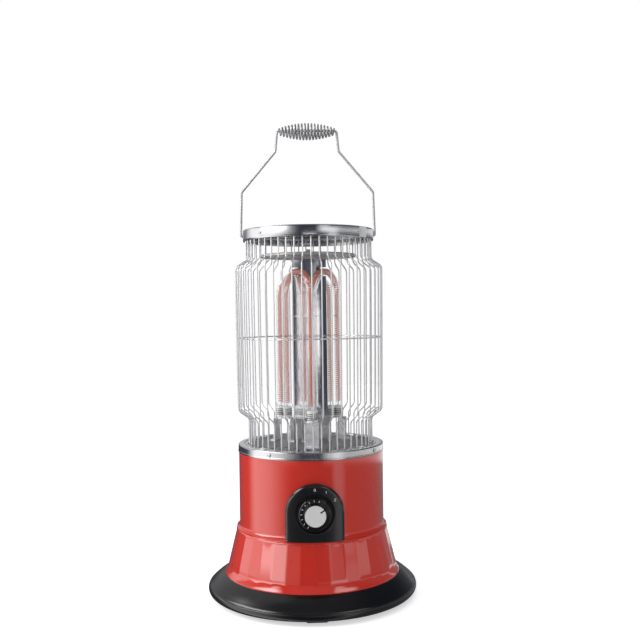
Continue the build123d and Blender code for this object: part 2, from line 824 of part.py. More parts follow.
os.makedirs("parts", exist_ok=True)
rubber_feet()
base_ring()
bottom_plate()
base_screws()
skirt()
drum_shell()
collar_ring()
chassis_pan()
floor_plate()
guard_wires()
guard_hoops()
cage_clips()
cap()
reflector_column()
tie_rod()
lamps()
lamp_mounts()
tube_clips()
control_panel()
switch_and_knob()
inner_parts()
bail_handle()
grip_coil()
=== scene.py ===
import json
import math
import bmesh
import bpy
from mathutils import Matrix, Quaternion, Vector


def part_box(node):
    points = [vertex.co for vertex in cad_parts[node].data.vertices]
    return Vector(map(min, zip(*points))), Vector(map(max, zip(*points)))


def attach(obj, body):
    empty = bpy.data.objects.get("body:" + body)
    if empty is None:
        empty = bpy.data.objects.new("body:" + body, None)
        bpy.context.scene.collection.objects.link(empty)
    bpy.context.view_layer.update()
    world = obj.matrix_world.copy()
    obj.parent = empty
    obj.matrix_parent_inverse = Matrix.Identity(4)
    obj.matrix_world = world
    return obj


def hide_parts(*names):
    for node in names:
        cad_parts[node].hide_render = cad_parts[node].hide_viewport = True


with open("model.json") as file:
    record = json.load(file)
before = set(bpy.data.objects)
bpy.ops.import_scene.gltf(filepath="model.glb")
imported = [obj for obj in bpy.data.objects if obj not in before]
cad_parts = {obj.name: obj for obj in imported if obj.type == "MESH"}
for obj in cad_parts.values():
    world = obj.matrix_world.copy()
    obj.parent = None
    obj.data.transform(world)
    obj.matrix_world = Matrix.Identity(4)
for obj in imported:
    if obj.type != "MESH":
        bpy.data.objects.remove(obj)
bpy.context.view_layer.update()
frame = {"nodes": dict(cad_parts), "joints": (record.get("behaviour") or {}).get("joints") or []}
nodes = frame["nodes"]
mm = 0.001
print("frame loaded,", len(nodes), "solids' nodes")


# angles are in degrees from the front, positive towards +X, and lengths in millimetres
def spot(radius, angle, z=0.0):
    turn = math.radians(angle)
    return Vector((radius * math.sin(turn), -radius * math.cos(turn), z))


def levelsOf(node):
    low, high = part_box(node)
    return low.z / mm, high.z / mm


def reachOf(node):
    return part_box(node)[1].x / mm


baseLow, spigotTop = levelsOf("base_ring")
skirtLow, seam = levelsOf("skirt")
collarLow, deck = levelsOf("collar_ring")
wireLow, wireTop = levelsOf("guard_wires")
capLow, capTop = levelsOf("cap_band")
lidLow, lidTop = levelsOf("cap_lid")
discLow, discTop = levelsOf("upper_reflector")
columnLow, columnTop = levelsOf("reflector_column")
holderLow, holderTop = levelsOf("ceramic_holders")
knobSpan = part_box("knob_skirt")
knobZ = (knobSpan[0].z + knobSpan[1].z) / 2 / mm
drumRadius = 114.5
capRadius = reachOf("cap_band")


# mesh parts are pairs of points and faces
def skin(rows, wrap=False, caps=True, loop=True):
    count = len(rows[0])
    points = [point for row in rows for point in row]
    faces = []
    for i in range(len(rows) if wrap else len(rows) - 1):
        a, b = i * count, (i + 1) % len(rows) * count
        for j in range(count if loop else count - 1):
            k = (j + 1) % count
            faces.append((a + j, a + k, b + k, b + j))
    if caps and not wrap:
        faces.append(tuple(range(count)))
        faces.append(tuple((len(rows) - 1) * count + j for j in reversed(range(count))))
    return points, faces


def lathe(profile, segments=144, wrap=True):
    rows = []
    for r, z in profile:
        rows.append([spot(max(r, 0.0), 360 * j / segments, z) for j in range(segments)])
    return skin(rows, wrap=wrap, caps=False)


def roundLoop(radius, sides):
    turns = [2 * math.pi * j / sides for j in range(sides)]
    return [(radius * math.cos(turn), radius * math.sin(turn)) for turn in turns]


def framesAlong(path):
    ahead = [(path[min(i + 1, len(path) - 1)] - path[max(i - 1, 0)]).normalized() for i in range(len(path))]
    side = ahead[0].orthogonal().normalized()
    frames = []
    for i, way in enumerate(ahead):
        if i:
            side = (ahead[i - 1].rotation_difference(way) @ side).normalized()
        frames.append((path[i], way, side, way.cross(side)))
    return frames


def tubeAlong(path, section, caps=True):
    rows = [[at + side * u + up * v for u, v in section] for at, way, side, up in framesAlong(path)]
    return skin(rows, caps=caps)


def hoopTube(radius, z, thick, sides=12, segments=150):
    profile = [(radius + u, z + v) for u, v in roundLoop(thick, sides)]
    return lathe(profile, segments)


def softPath(corners, radii, steps=7):
    corners = [Vector(corner) for corner in corners]
    path = [corners[0]]
    for i in range(1, len(corners) - 1):
        before = (corners[i] - corners[i - 1]).normalized()
        after = (corners[i + 1] - corners[i]).normalized()
        turn = before.angle(after)
        if turn < 0.01:
            path.append(corners[i])
            continue
        radius = radii[i - 1]
        centre = corners[i] + (after - before).normalized() * (radius / math.cos(turn / 2))
        arm = corners[i] - before * (radius * math.tan(turn / 2)) - centre
        axis = before.cross(after).normalized()
        for j in range(steps + 1):
            path.append(centre + Quaternion(axis, turn * j / steps) @ arm)
    return path + [corners[-1]]


def spaced(path, gap):
    points = [path[0]]
    for start, end in zip(path, path[1:]):
        count = max(1, round((end - start).length / gap))
        points += [start.lerp(end, (j + 1) / count) for j in range(count)]
    return points


def softProfile(corners, radii, steps=5):
    flat = softPath([(r, 0, z) for r, z in corners], radii, steps)
    return [(point.x, point.z) for point in flat]


def moved(part, matrix):
    return [matrix @ Vector(point) for point in part[0]], part[1]


def turned(part, angles):
    return [moved(part, Matrix.Rotation(math.radians(angle), 4, "Z")) for angle in angles]


def stepsOf(count, start=0.0):
    return [start + 360 * i / count for i in range(count)]


# a part modelled about +Z goes to a wall, its top facing out from the axis
def outward(part, distance, z, angle=0.0):
    tilt = Matrix.Rotation(math.radians(90), 4, "X")
    place = Matrix.Translation((0, -distance, z)) @ tilt
    return moved(part, Matrix.Rotation(math.radians(angle), 4, "Z") @ place)


def piece(name, parts, finish, stands=(), body="heater", sharp=35):
    points, faces = [], []
    for partPoints, partFaces in parts:
        start = len(points)
        points += [Vector(point) * mm for point in partPoints]
        faces += [[start + i for i in face] for face in partFaces]
    mesh = bpy.data.meshes.new(name)
    mesh.from_pydata(points, [], faces)
    shape = bmesh.new()
    shape.from_mesh(mesh)
    bmesh.ops.remove_doubles(shape, verts=shape.verts, dist=2e-6)
    bmesh.ops.recalc_face_normals(shape, faces=shape.faces)
    shape.to_mesh(mesh)
    shape.free()
    mesh.shade_smooth()
    mesh.set_sharp_from_angle(angle=math.radians(sharp))
    mesh.materials.append(finish)
    made = bpy.data.objects.new(name, mesh)
    bpy.context.scene.collection.objects.link(made)
    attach(made, body)
    for node in stands:
        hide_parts(node)
    return made


def dress(finish, names):
    for name in names:
        mesh = nodes[name].data
        if mesh.materials:
            for place in nodes[name].material_slots:
                place.material = finish
        else:
            mesh.materials.append(finish)


# a socket of a node tree, with arithmetic
class Value:
    def __init__(self, tree, socket=None):
        self.tree = tree
        self.socket = socket

    def make(self, kind, settings=None, sockets=None, out=0):
        new = self.tree.nodes.new("ShaderNode" + kind)
        for key, setting in (settings or {}).items():
            if key == "stops":
                ramp = new.color_ramp.elements
                while len(ramp) < len(setting):
                    ramp.new(0.5)
                for stop, (place, shade) in zip(ramp, setting):
                    stop.position = place
                    stop.color = (shade, shade, shade, 1) if isinstance(shade, (int, float)) else (*shade, 1)
            else:
                setattr(new, key, setting)
        for key, given in (sockets or {}).items():
            if isinstance(given, Value):
                self.tree.links.new(given.socket, new.inputs[key])
            else:
                new.inputs[key].default_value = given
        return Value(self.tree, new.outputs[out]) if len(new.outputs) else None

    def maths(self, operation, first, second=0.0):
        return self.make("Math", {"operation": operation}, {0: first, 1: second})

    def __add__(self, other):
        return self.maths("ADD", self, other)

    def __radd__(self, other):
        return self.maths("ADD", other, self)

    def __sub__(self, other):
        return self.maths("SUBTRACT", self, other)

    def __rsub__(self, other):
        return self.maths("SUBTRACT", other, self)

    def __mul__(self, other):
        return self.maths("MULTIPLY", self, other)

    def __rmul__(self, other):
        return self.maths("MULTIPLY", other, self)

    def __pow__(self, other):
        return self.maths("POWER", self, other)

    def __rpow__(self, other):
        return self.maths("POWER", other, self)


def material(name):
    made = bpy.data.materials.new(name)
    made.use_nodes = True
    made.node_tree.nodes.clear()
    return made, Value(made.node_tree)


def surface(start, sockets):
    shader = start.make("BsdfPrincipled", None, sockets)
    start.make("OutputMaterial", None, {"Surface": shader})


def places(start):
    return start.make("TexCoord", out=3)


def split(start, vector):
    return [start.make("SeparateXYZ", None, {0: vector}, out=i) for i in range(3)]


def noise(start, vector, scale, detail=2.0, roughness=0.5):
    sockets = {"Vector": vector, "Scale": scale, "Detail": detail, "Roughness": roughness}
    return start.make("TexNoise", None, sockets)


def blend(start, factor, first, second):
    return start.make("Mix", {"data_type": "RGBA"}, {0: factor, 6: (*first, 1), 7: (*second, 1)}, out=2)


def bumped(start, height, strength, distance):
    return start.make("Bump", None, {"Strength": strength, "Distance": distance, "Height": height})


# fine lines that run round the axis, as a lathe or a polishing belt leaves them
def roundGrain(start):
    x, y, z = split(start, places(start))
    angle = start.maths("ARCTAN2", y, x)
    radius = (x * x + y * y) ** 0.5
    lines = start.make("CombineXYZ", None, {0: angle * 3.0, 1: z * 2600.0, 2: radius * 2600.0})
    return noise(start, lines, 1.0, 3.0)


# one pattern shades, roughens and dents the surface; without a scale it is the grain round the axis
def grained(name, look, sockets=None):
    made, start = material(name)
    at = places(start)
    if "stretch" in look:
        at = start.make("Mapping", None, {"Vector": at, "Scale": look["stretch"]})
    grain = noise(start, at, look["scale"], look["detail"]) if "scale" in look else roundGrain(start)
    dents = noise(start, at, look["dents"]) if "dents" in look else grain
    surface(start, {
        "Base Color": blend(start, grain, look["dark"], look["light"]),
        "Roughness": look["rough"] + grain * look["spread"],
        "Normal": bumped(start, dents, look["bump"], look["depth"]),
        **(sockets or {}),
    })
    return made


def wireMetal(name, dark, light, roughness):
    look = {"stretch": (900.0, 900.0, 40.0), "scale": 1.0, "detail": 2.0, "rough": roughness, "spread": 0.12,
            "bump": 0.02, "depth": 0.0001}
    return grained(name, {**look, "dark": dark, "light": light}, {"Metallic": 0.62})


def redPaint():
    look = {"deep": (0.56, 0.022, 0.009), "fresh": (0.63, 0.028, 0.012), "peel": 420.0}
    made, start = material("redPaint")
    at = places(start)
    clouds = noise(start, at, 9.0, 3.0)
    peel = noise(start, at, look["peel"], 2.0)
    surface(start, {
        "Base Color": blend(start, clouds, look["deep"], look["fresh"]),
        "Roughness": 0.24 + clouds * 0.08,
        "Specular IOR Level": 0.2,
        "Coat Weight": 1.0,
        "Coat IOR": 1.75,
        "Coat Roughness": 0.04,
        "Normal": bumped(start, peel, 0.015, 0.0003),
    })
    return made


def blackMoulding(name, dark, light, roughness):
    made, start = material(name)
    at = places(start)
    spark = noise(start, at, 1400.0, 2.0)
    clouds = noise(start, at, 14.0, 3.0)
    surface(start, {
        "Base Color": blend(start, clouds, dark, light),
        "Roughness": roughness + clouds * 0.05 + spark * 0.04,
        "IOR": 1.65,
        "Normal": bumped(start, spark, 0.05, 0.0002),
    })
    return made


def zinc():
    look = {"cool": (0.72, 0.73, 0.75), "warm": (0.84, 0.83, 0.81)}
    made, start = material("zinc")
    at = places(start)
    clouds = noise(start, at, 55.0, 4.0)
    spangle = start.make("TexVoronoi", None, {"Vector": at, "Scale": 420.0})
    surface(start, {
        "Base Color": blend(start, clouds, look["cool"], look["warm"]),
        "Metallic": 0.45,
        "Roughness": 0.34 + clouds * 0.14 + spangle * 0.05,
        "Normal": bumped(start, spangle, 0.05, 0.0002),
    })
    return made


def greyPlate():
    look = {"dark": (0.15, 0.15, 0.155), "light": (0.28, 0.28, 0.285)}
    made, start = material("greyPlate")
    at = places(start)
    grain = noise(start, at, 700.0, 3.0)
    surface(start, {
        "Base Color": blend(start, noise(start, at, 30.0, 4.0), look["dark"], look["light"]),
        "Metallic": 0.4,
        "Roughness": 0.36 + grain * 0.12,
        "Normal": bumped(start, grain, 0.10, 0.0002),
    })
    return made


def mirror():
    look = {"dark": (0.80, 0.80, 0.82), "light": (0.90, 0.90, 0.91)}
    made, start = material("mirror")
    at = places(start)
    stretched = start.make("Mapping", None, {"Vector": at, "Scale": (700.0, 700.0, 12.0)})
    rolled = noise(start, stretched, 1.0, 2.0)
    waves = noise(start, at, 22.0, 2.0)
    surface(start, {
        "Base Color": blend(start, rolled, look["dark"], look["light"]),
        "Metallic": 1.0,
        "Roughness": 0.05 + rolled * 0.06,
        "Normal": bumped(start, waves, 0.10, 0.003),
    })
    return made


def silverFace():
    look = {"dark": (0.74, 0.74, 0.73), "light": (0.86, 0.86, 0.85), "rings": 9000.0}
    made, start = material("silverFace")
    x, y, z = split(start, places(start))
    up = z - knobZ * mm
    radius = (x * x + up * up) ** 0.5
    rings = start.maths("SINE", radius * look["rings"]) * 0.5 + 0.5
    surface(start, {
        "Base Color": blend(start, rings, look["dark"], look["light"]),
        "Metallic": 0.2,
        "Roughness": 0.38 + rings * 0.10,
        "Normal": bumped(start, rings, 0.08, 0.0001),
    })
    return made


def whitePaint():
    look = {"shade": (0.70, 0.70, 0.69), "light": (0.86, 0.86, 0.85)}
    made, start = material("whitePaint")
    specks = noise(start, places(start), 800.0, 2.0)
    surface(start, {"Base Color": blend(start, specks, look["shade"], look["light"]), "Roughness": 0.45})
    return made


redFinish = redPaint()
blackFinish = blackMoulding("blackMoulding", (0.003, 0.003, 0.003), (0.006, 0.006, 0.006), 0.18)
panelFinish = blackMoulding("panelMoulding", (0.006, 0.006, 0.006), (0.011, 0.011, 0.012), 0.13)
rubberFinish = grained("rubber", {
    "dark": (0.014, 0.014, 0.014), "light": (0.035, 0.034, 0.033), "scale": 60.0, "detail": 5.0,
    "rough": 0.72, "spread": 0.15, "dents": 900.0, "bump": 0.2, "depth": 0.0003})
stainlessFinish = grained("stainless", {
    "dark": (0.56, 0.56, 0.57), "light": (0.68, 0.68, 0.69),
    "rough": 0.10, "spread": 0.10, "bump": 0.06, "depth": 0.0001}, {"Metallic": 1.0})
brightFinish = wireMetal("brightWire", (0.80, 0.80, 0.82), (0.92, 0.92, 0.93), 0.17)
springFinish = wireMetal("springWire", (0.36, 0.36, 0.37), (0.54, 0.54, 0.55), 0.20)
darkSpringFinish = wireMetal("darkSpring", (0.05, 0.05, 0.055), (0.12, 0.12, 0.125), 0.25)
bailFinish = wireMetal("bailWire", (0.62, 0.62, 0.64), (0.72, 0.72, 0.74), 0.36)
zincFinish = zinc()
plateFinish = greyPlate()
mirrorFinish = mirror()
glassFinish = grained("quartzGlass", {
    "dark": (1.0, 1.0, 1.0), "light": (0.93, 0.95, 0.96), "stretch": (300.0, 300.0, 9.0), "scale": 1.0, "detail": 2.0,
    "rough": 0.0, "spread": 0.03, "bump": 0.05, "depth": 0.0002}, {"IOR": 1.45, "Transmission Weight": 1.0})
carbonFinish = grained("carbon", {
    "dark": (0.52, 0.13, 0.075), "light": (0.76, 0.25, 0.155), "scale": 500.0, "detail": 3.0,
    "rough": 0.5, "spread": 0.2, "bump": 0.2, "depth": 0.0003},
    {"Emission Color": (1.0, 0.36, 0.22, 1), "Emission Strength": 0.06})
ceramicFinish = grained("ceramic", {
    "dark": (0.80, 0.80, 0.79), "light": (0.90, 0.90, 0.89), "scale": 240.0, "detail": 5.0,
    "rough": 0.34, "spread": 0.15, "bump": 0.08, "depth": 0.0003})
faceFinish = silverFace()
markFinish = whitePaint()
switchFinish = grained("switchPlastic", {
    "dark": (0.06, 0.06, 0.065), "light": (0.12, 0.12, 0.125), "scale": 300.0, "detail": 4.0,
    "rough": 0.45, "spread": 0.15, "bump": 0.1, "depth": 0.0002})
paintedShadeDiscFinish = grained("paintedShadeDisc", {  # satin, its colour darkened and browned: painted shade and dark reflection under the disc
    "dark": (0.50, 0.47, 0.46), "light": (0.66, 0.63, 0.62),
    "rough": 0.36, "spread": 0.12, "bump": 0.05, "depth": 0.0001}, {"Metallic": 0.55})
sheetFinish = grained("brightSheet", {  # bent sheet that keeps its mill shine
    "dark": (0.80, 0.80, 0.81), "light": (0.94, 0.94, 0.94), "scale": 130.0, "detail": 3.0,
    "rough": 0.10, "spread": 0.10, "bump": 0.8, "depth": 0.004}, {"Metallic": 0.35})
paintedShadeSteelFinish = grained("paintedShadeSteel", {  # inside: painted shade, a near-black colour for the pan, which lies in shade and does not shine
    "dark": (0.030, 0.030, 0.032), "light": (0.070, 0.070, 0.074), "scale": 45.0, "detail": 4.0,
    "rough": 0.5, "spread": 0.2, "dents": 500.0, "bump": 0.08, "depth": 0.0002}, {"Metallic": 0.3})
print("finishes made")


base = {"nose": 9.0, "edge": 165.0, "wall": 3.0, "lip": 120.0, "slope": 35.0, "belly": 1.4, "spigotIn": 4.5,
        "corner": 1.0, "hollow": 3.4, "hollowRise": 4.9}


def baseProfile():
    noseR, noseZ = base["edge"] - base["nose"], baseLow + base["nose"]
    turns = [(180 - base["slope"]) * i / 20 for i in range(21)]
    points = []
    for turn in turns:
        out, rise = math.sin(math.radians(turn)), math.cos(math.radians(turn))
        points.append((noseR + base["nose"] * out, noseZ - base["nose"] * rise))
    start, footR = points[-1], reachOf("skirt")
    for i in range(1, 11):
        share = i / 10
        bulge = base["belly"] * math.sin(math.pi * share)
        points.append((start[0] + (footR - start[0]) * share, start[1] + (skirtLow - start[1]) * share + bulge))
    inner, hollow, corner = footR - base["spigotIn"], noseR + base["hollow"], base["corner"]
    floor, under = baseLow + base["wall"], skirtLow - base["wall"]
    points += [(inner, skirtLow), (inner, spigotTop), (inner - base["wall"], spigotTop), (inner - base["wall"], under)]
    points += [(footR - corner, under), (hollow, noseZ + base["hollowRise"]), (hollow, floor + corner)]
    return points + [(hollow - corner, floor), (base["lip"], floor), (base["lip"], baseLow)]


piece("baseRing", [lathe(baseProfile(), 180)], blackFinish, ["base_ring"])

skirt = {"foot": 138.7, "waist": 133.0, "flare": 15.0, "top": 119.0, "facets": 36, "sheet": 1.0, "band": 4.0,
         "bandSoft": 2.2, "footBand": 7.0, "flatSoft": 5.0, "bow": 0.65, "footEdge": 0.6, "footTrim": 0.5,
         "topEdge": 1.0, "topTrim": 0.8, "step": 0.7,
         "rings": [0.0, 0.25, 0.6, 2.0, 4.0, 6.0, 7.0, 8.0, 9.0, 10.5, 12.0, 13.5, 15.0, 18.0, 30.0, 45.0, 60.0, 66.0]}


def skirtRadius(z):
    height = z - skirtLow
    if height < skirt["flare"]:
        share = 1 - height / skirt["flare"]
        bow = (1 - skirt["bow"]) * share + skirt["bow"] * share * share
        return skirt["waist"] + (skirt["foot"] - skirt["waist"]) * bow
    share = (height - skirt["flare"]) / (seam - skirtLow - skirt["flare"])
    return skirt["waist"] + (skirt["top"] - skirt["waist"]) * share


def skirtPart():
    pitch, total = 360 / skirt["facets"], seam - skirtLow
    columns = []
    for facet in range(skirt["facets"]):
        for share in (0.05, 0.10, 0.35, 0.65, 0.90, 0.95):
            columns.append((facet * pitch + share * pitch, (facet + 0.5) * pitch))
    bandFoot = total - skirt["band"]
    heights = skirt["rings"] + [bandFoot - drop for drop in (skirt["bandSoft"], skirt["bandSoft"] / 2, 0.6, 0.3, 0, -1)]
    heights += [total - drop for drop in (1.0, 0.5, 0.2, 0)]
    outer, inner = [], []
    for height in heights:
        z = skirtLow + height
        overFoot, underBand = (height - skirt["footBand"]) / skirt["flatSoft"], (bandFoot - height) / skirt["bandSoft"]
        flat = min(max(overFoot, 0.0), 1.0) * min(max(underBand, 0.0), 1.0)
        trim, topGap = 0.0, total - height
        if height < skirt["footEdge"]:
            trim = skirt["footTrim"] * (1 - height / skirt["footEdge"]) ** 2
        if topGap < skirt["topEdge"]:
            trim = skirt["topTrim"] * (1 - topGap / skirt["topEdge"]) ** 2
        step = skirt["step"] if height < bandFoot - 0.2 else 0.0
        rowOut, rowIn = [], []
        for angle, middle in columns:
            radius = skirtRadius(z)
            corner = math.cos(math.radians(pitch / 2)) / math.cos(math.radians(angle - middle))
            radius = radius * (1 - flat + flat * corner) - trim - step * min(1.0, height / skirt["flare"])
            rowOut.append(spot(radius, angle, z))
            rowIn.append(spot(radius - skirt["sheet"], angle, z))
        outer.append(rowOut)
        inner.append(rowIn)
    return skin(outer + inner[::-1], wrap=True)


piece("skirtShell", [skirtPart()], redFinish, ["skirt"], sharp=60)

drum = {"flare": 4.5, "flareHeight": 7.0, "sheet": 1.0, "round": 1.0, "ease": 12.0, "collarGap": 1.1}


def drumProfile():
    foot, start = drumRadius + drum["flare"], seam + drum["round"]
    outer = [(foot - 0.9, seam + 0.05), (foot - 0.25, seam + 0.3), (foot, start)]
    for i in range(1, 9):
        share = i / 8
        inward = drum["flare"] * math.sin(share * math.pi / 2) ** 0.9
        outer.append((foot - inward, start + (drum["flareHeight"] - drum["round"]) * share))
    outer += [(drumRadius, seam + drum["ease"]), (drumRadius, deck - drum["collarGap"])]
    inner = [(r - drum["sheet"], z) for r, z in reversed(outer)]
    return outer + inner


piece("drumShell", [lathe(drumProfile(), 180)], redFinish, ["drum_shell"])

collar = {"opening": 100.3, "bead": 0.35, "beadHeight": 2.2, "sheet": 1.0, "groove": 0.8, "grooveFrom": 103.4,
          "grooveTo": 106.5, "under": 1.9, "thick": 1.4,
          "rounds": [0.3, 0.4, 0.4, 0.0, 0.0, 1.5, 0.5, 0.3, 0.3, 0.5, 0.45]}
collarRadius = reachOf("collar_ring")


def collarProfile():
    outer, side, opening = collarRadius, collarRadius - collar["bead"], collar["opening"]
    near, far, groove, under = collar["grooveFrom"], collar["grooveTo"], collar["groove"], deck - collar["under"]
    corners = [(outer - collar["sheet"], collarLow), (outer, collarLow), (outer, collarLow + collar["beadHeight"]),
               (side, collarLow + 2.7), (side, collarLow + 3.4), (side, deck - 1.8), (side, deck), (far, deck),
               (far - groove, deck - groove), (near + groove, deck - groove), (near, deck), (opening, deck),
               (opening, deck - collar["sheet"])]
    back = outer - collar["thick"]
    return softProfile(corners, collar["rounds"]) + [(near - 0.4, under), (far + 0.5, under), (back, under - 0.1),
                                                     (back, collarLow + 2)]


piece("collarRing", [lathe(collarProfile(), 180)], stainlessFinish, ["collar_ring"])

screws = {"head": 3.0, "height": 1.6, "cross": 0.42, "depth": 0.7, "reach": 1.9, "shank": 1.5, "seat": 0.05,
          "inCollar": 6.9, "inCap": 4.9, "capDrop": 8.5, "collarAngles": (-35, 55, 145, 235)}


def screwPart(length):
    rows = []
    for share in (0.0, 0.15, 0.3, 0.45, 0.6, 0.66, 0.8, 0.92, 1.0):
        row = []
        for x, y in roundLoop(screws["head"] * share, 48):
            z = screws["height"] * (1 - 0.75 * share ** 3)
            if share * screws["head"] < screws["reach"] and min(abs(x), abs(y)) < screws["cross"]:
                z -= screws["depth"]
            row.append(Vector((x, y, z)))
        rows.append(row)
    for radius, z in ((screws["head"], 0.0), (screws["shank"], 0.0), (screws["shank"], -length), (0.0, -length)):
        rows.append([Vector((x, y, z)) for x, y in roundLoop(radius, 48)])
    return skin(rows, caps=False)


def screwsAt(radius, length, level, angles):
    return [outward(screwPart(length), radius + screws["seat"], level, angle) for angle in angles]


clipAngles = [side * (number + 0.5) * 7.2 for side in (-1, 1) for number in (6, 18)]
piece("collarScrews", screwsAt(collarRadius, screws["inCollar"], (collarLow + deck) / 2, screws["collarAngles"]),
      zincFinish, ["collar_screws"])
piece("capScrews", screwsAt(capRadius, screws["inCap"], capTop - screws["capDrop"], clipAngles),
      zincFinish, ["cap_screws"])
print("housing made")

cage = {"wire": 1.1, "count": 50, "neck": 98.0, "neckHeight": 40.0, "shoulder": 12.0, "body": 114.5, "bodyTop": 117.0,
        "bodyHeight": 226.0, "upperShoulder": 11.5, "upperNeck": 100.0, "bend": 9.0, "hoopShare": 0.506, "strap": 1.5,
        "strapEdge": 0.35, "topStrap": 4.0, "seat": 0.05}
neckTop = deck + cage["neckHeight"]
bodyFoot = neckTop + cage["shoulder"]
bodyTop = bodyFoot + cage["bodyHeight"]
upperNeck = bodyTop + cage["upperShoulder"]


def wirePart():
    stops = [(cage["neck"], wireLow), (cage["neck"], neckTop), (cage["body"], bodyFoot), (cage["bodyTop"], bodyTop),
             (cage["upperNeck"], upperNeck), (cage["upperNeck"], wireTop)]
    path = softPath([(0, -r, z) for r, z in stops], [cage["bend"]] * 4)
    return tubeAlong(path, roundLoop(cage["wire"], 12))


def strapPart(outer, foot, top):
    corners = [(outer, foot), (outer, top), (outer - cage["strap"], top), (outer - cage["strap"], foot)]
    profile = softProfile([corners[-1]] + corners + [corners[0]], [cage["strapEdge"]] * 4, 3)[1:-1]
    return lathe(profile, 150)


hoopLevel = bodyFoot + cage["bodyHeight"] * cage["hoopShare"]
hoopRadius = cage["body"] + (cage["bodyTop"] - cage["body"]) * cage["hoopShare"] - 2 * cage["wire"] - cage["seat"]
strapLow = levelsOf("guard_hoops")[0]
piece("guardWires", turned(wirePart(), stepsOf(cage["count"])), brightFinish, ["guard_wires"])
piece("guardHoops", [
    strapPart(cage["neck"] - cage["wire"] - cage["seat"], strapLow, levelsOf("floor_plate")[0]),
    hoopTube(hoopRadius, hoopLevel, cage["wire"]),
    strapPart(cage["upperNeck"] - cage["wire"] - cage["seat"], wireTop - cage["topStrap"], wireTop),
], brightFinish, ["guard_hoops"])

clips = {"width": 8.0, "sheet": 1.0, "reach": 9.0, "bend": 1.3}


def clipPart():
    half, thin = clips["width"] / 2, clips["sheet"] / 2
    foot, top = levelsOf("cage_clips")
    near = cage["neck"] - cage["wire"] + thin
    line = softPath([(0, -near, foot), (0, -near, top - thin), (0, -near - clips["reach"] + thin, top - thin)],
                    [clips["bend"]], 6)
    section = [(-half, -thin), (half, -thin), (half, thin), (-half, thin)]
    rows = []
    for at, way, side, up in framesAlong(line):
        across = Vector((1, 0, 0))
        thick = way.cross(across).normalized()
        rows.append([at + across * u + thick * v for u, v in section])
    return skin(rows)


piece("cageClips", turned(clipPart(), clipAngles), brightFinish, ["cage_clips"])

cap = {"sheet": 0.8, "edge": 0.35, "bulge": 0.25, "seamFrom": 46.0, "seamWidth": 11.0, "seamThick": 0.6,
       "seamInset": 0.5, "rib": 0.5, "ribFrom": 80.0, "ribTo": 90.0, "ribSlope": 2.0, "lidGap": 0.05, "lidEdge": 0.4}


def bandProfile():
    outer, inner = capRadius, capRadius - cap["sheet"]
    side = [(outer - cap["bulge"] * (i / 3 - 1) ** 2, capLow + (capTop - capLow) * i / 6) for i in range(7)]
    corners = [(inner, capLow)] + side + [(inner, capTop)]
    radii = [cap["edge"]] * 2 + [20.0] * 5 + [cap["edge"]] * 2
    return softProfile([corners[-1]] + corners + [corners[0]], radii, 3)[1:-1]


def seamPart():
    rows = []
    for i in range(13):
        angle = cap["seamFrom"] + cap["seamWidth"] * i / 12
        outer = capRadius + (cap["seamThick"] if 0 < i < 12 else 0.05)
        foot, top = capLow + cap["seamInset"], capTop - cap["seamInset"]
        rows.append([spot(r, angle, z) for r, z in ((capRadius, foot), (outer, foot), (outer, top), (capRadius, top))])
    return skin(rows)


def lidProfile():
    edge, soft = capRadius - cap["sheet"] - cap["lidGap"], cap["lidEdge"]
    near, far, slope = cap["ribFrom"], cap["ribTo"], cap["ribSlope"]
    sunk, low = lidTop - cap["rib"], lidLow - cap["rib"] + 0.2
    top = [(0, lidTop), (near, lidTop), (near + slope, sunk), (far - slope, sunk), (far, lidTop), (edge - soft, lidTop)]
    under = [(far + soft, lidLow), (far - slope + soft, low), (near + slope - soft, low), (near - soft, lidLow)]
    return top + [(edge, lidTop - soft), (edge, lidLow)] + under + [(0, lidLow)]


piece("capBand", [lathe(bandProfile(), 180), seamPart()], stainlessFinish, ["cap_band"])
piece("capLid", [lathe(lidProfile(), 180, wrap=False)], stainlessFinish, ["cap_lid"])

disc = {"radius": 77.0, "rim": 2.5, "bore": 4.0, "sheet": 1.0, "bend": 1.1}


def discProfile():
    flat = discTop - disc["sheet"]
    corners = [(disc["bore"], flat), (disc["radius"] - disc["sheet"], flat), (disc["radius"] - disc["sheet"], discLow)]
    under = softProfile(corners, [disc["bend"]], 6)
    corners = [(disc["radius"], discLow), (disc["radius"], discTop), (disc["bore"], discTop)]
    over = softProfile(corners, [disc["bend"] + disc["sheet"]], 6)
    return under + over


# the disc's finish carries painted shade and dark reflection in its colour
piece("upperDisc", [lathe(discProfile(), 150)], paintedShadeDiscFinish, ["upper_reflector"])
print("cage and cap made")

column = {"corner": 32.0, "face": 13.0, "sheet": 0.8, "bend": 0.03, "points": 56, "slot": 7.0}
lamp = {"outerCircle": 54.0, "innerCircle": 40.6, "lead": 3.9, "radius": 5.5, "wall": 0.9, "bend": 36.0, "drop": 21.0}
crownLevel = discLow + disc["rim"] - lamp["drop"] - lamp["radius"]
firstLeg = spot(lamp["outerCircle"], 0)
lastLeg = spot(lamp["innerCircle"], lamp["lead"] - 120)
crownWay = (lastLeg - firstLeg).normalized()
crownSide = Vector((-crownWay.y, crownWay.x, 0))
slotReach = firstLeg.dot(crownSide) - column["slot"]


def columnLoop(inset):
    points = []
    for face in (0, 120, 240):
        start, end = spot(column["corner"], face - 60), spot(column["corner"], face + 60)
        middle = spot(column["face"], face)
        half = (end - start).length / 2
        sag = ((start + end) / 2 - middle).length
        radius = (half * half + sag * sag) / (2 * sag)
        centre = middle + spot(radius, face)
        sweepAngle = math.asin(half / radius)
        for i in range(column["points"]):
            share = column["bend"] + (1 - 2 * column["bend"]) * i / (column["points"] - 1)
            turn = sweepAngle * (1 - 2 * share)
            away = Matrix.Rotation(turn, 3, "Z") @ (middle - centre).normalized()
            points.append(centre + away * (radius + inset))
        points.append((points[-1] + spot(column["corner"] - 2 * inset, face + 60)) / 2)
    return points


